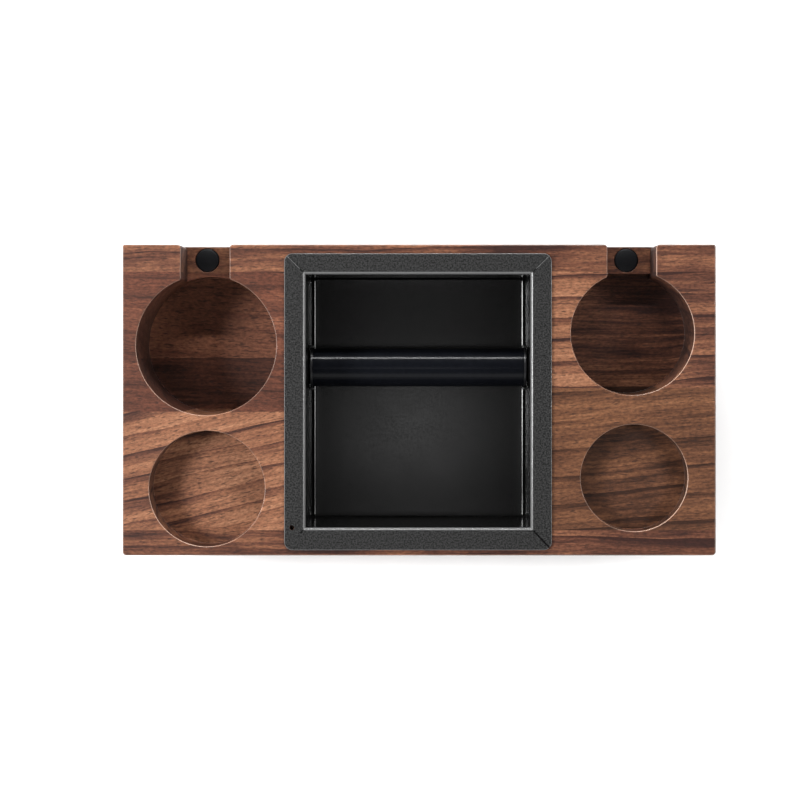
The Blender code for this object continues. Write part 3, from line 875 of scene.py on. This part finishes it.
def make_camera():
    data = bpy.data.cameras.new("camera")
    data.sensor_width = SENSOR
    data.lens = SENSOR * CAMERA_HEIGHT / FRAME_WIDTH
    data.shift_x = (VIEW_MIDDLE[0] - CAMERA_AT[0]) / FRAME_WIDTH
    data.shift_y = (VIEW_MIDDLE[1] - CAMERA_AT[1]) / FRAME_WIDTH
    camera = bpy.data.objects.new("camera", data)
    camera.location = (*CAMERA_AT, BLOCK_TOP + CAMERA_HEIGHT)
    bpy.context.scene.collection.objects.link(camera)
    bpy.context.scene.camera = camera


def softbox(name, at, aim, size, power):
    data = bpy.data.lights.new(name, "AREA")
    data.shape = "RECTANGLE"
    data.size, data.size_y = size
    data.energy = power
    light = bpy.data.objects.new(name, data)
    light.location = at
    light.rotation_euler = (Vector(aim) - Vector(at)).to_track_quat("-Z", "Y").to_euler()
    bpy.context.scene.collection.objects.link(light)


def make_world():
    """A room that is pale at the horizon, palest in front, and dark overhead."""
    world = bpy.data.worlds.new("studio")
    world.use_nodes = True
    tree = world.node_tree
    direction = add(tree, "ShaderNodeTexCoord").outputs["Generated"]
    split = add(tree, "ShaderNodeSeparateXYZ", {0: direction})
    levels = ((0.0, 0.72), (0.55, 0.70), (0.80, 0.46), (0.91, 0.14), (0.97, 0.01))
    glow = ramp(tree, split.outputs["Z"], [(height, grey(value)) for height, value in levels])
    side = fade(tree, split.outputs["Y"], -0.7, 0.7, 1.25, 0.70)
    tree.links.new(glow, tree.nodes["Background"].inputs["Color"])
    tree.links.new(side, tree.nodes["Background"].inputs["Strength"])
    bpy.context.scene.world = world


def make_floor():
    """A plain floor that glows faintly far from the object, so that it meets the room without a dark band."""
    floor = place("floor", box((-3, -3, -0.02), (3, 3, 0)))
    made, tree, shader, coords = start_material("pale_floor")
    colour = ramp(tree, noise(tree, coords, 30.0), ((0.3, grey(0.88)), (0.7, grey(0.90))))
    tree.links.new(colour, shader.inputs["Base Color"])
    shader.inputs["Roughness"].default_value = 0.9
    reach = add(tree, "ShaderNodeVectorMath", {0: coords}, operation="LENGTH").outputs["Value"]
    shader.inputs["Emission Color"].default_value = (1.0, 1.0, 1.0, 1.0)
    tree.links.new(fade(tree, reach, 0.7, 3.0, 0.0, 0.36), shader.inputs["Emission Strength"])
    floor.data.materials.append(made)


def make_studio():
    make_floor()
    make_world()
    aim = (0, 0, BLOCK_TOP)
    softbox("left_softbox", (-0.95, 0.05, 0.84), aim, (0.30, 0.30), 22)
    softbox("right_softbox", (0.95, 0.05, 0.84), aim, (0.30, 0.30), 8)
    softbox("rear_softbox", (0.0, 1.08, 0.65), aim, (0.6, 0.06), 18)
    softbox("front_softbox", (0.0, -0.95, 0.90), aim, (0.9, 0.5), 2.5)
    softbox("top_softbox", (-0.016, -0.089, 1.6), aim, (0.14, 0.14), 0.28)
    softbox("top_rear_softbox", (-0.016, 0.13, 1.6), aim, (0.14, 0.14), 0.06)
    bpy.context.scene.view_settings.view_transform = "Standard"


def main():
    rubber = black_rubber("black_rubber", (0.0028, 0.0031, 0.0042), 0.14, 0.20, 0.06)
    plug_rubber = black_rubber("plug_rubber", (0.004, 0.0042, 0.005), 0.42, 0.52, 0.15)
    plastic = black_rubber("black_plastic", (0.008, 0.008, 0.009), 0.36, 0.46, 0.30)
    coat = powder_coat("black_powder_coat", rim=0.0)
    # The cradles get a copy of the coating that is painted dark all over, as painted shade down inside the tray
    shaded_inner_coat = powder_coat("shaded_inner_powder_coat")
    steel = brushed_steel()
    make_block()
    make_rests(plug_rubber)
    make_feet(plug_rubber, steel)
    make_tray(coat, burnished_seam_highlight())
    make_cradles(shaded_inner_coat)
    make_bar(rubber, plastic, steel)
    make_camera()
    make_studio()


main()
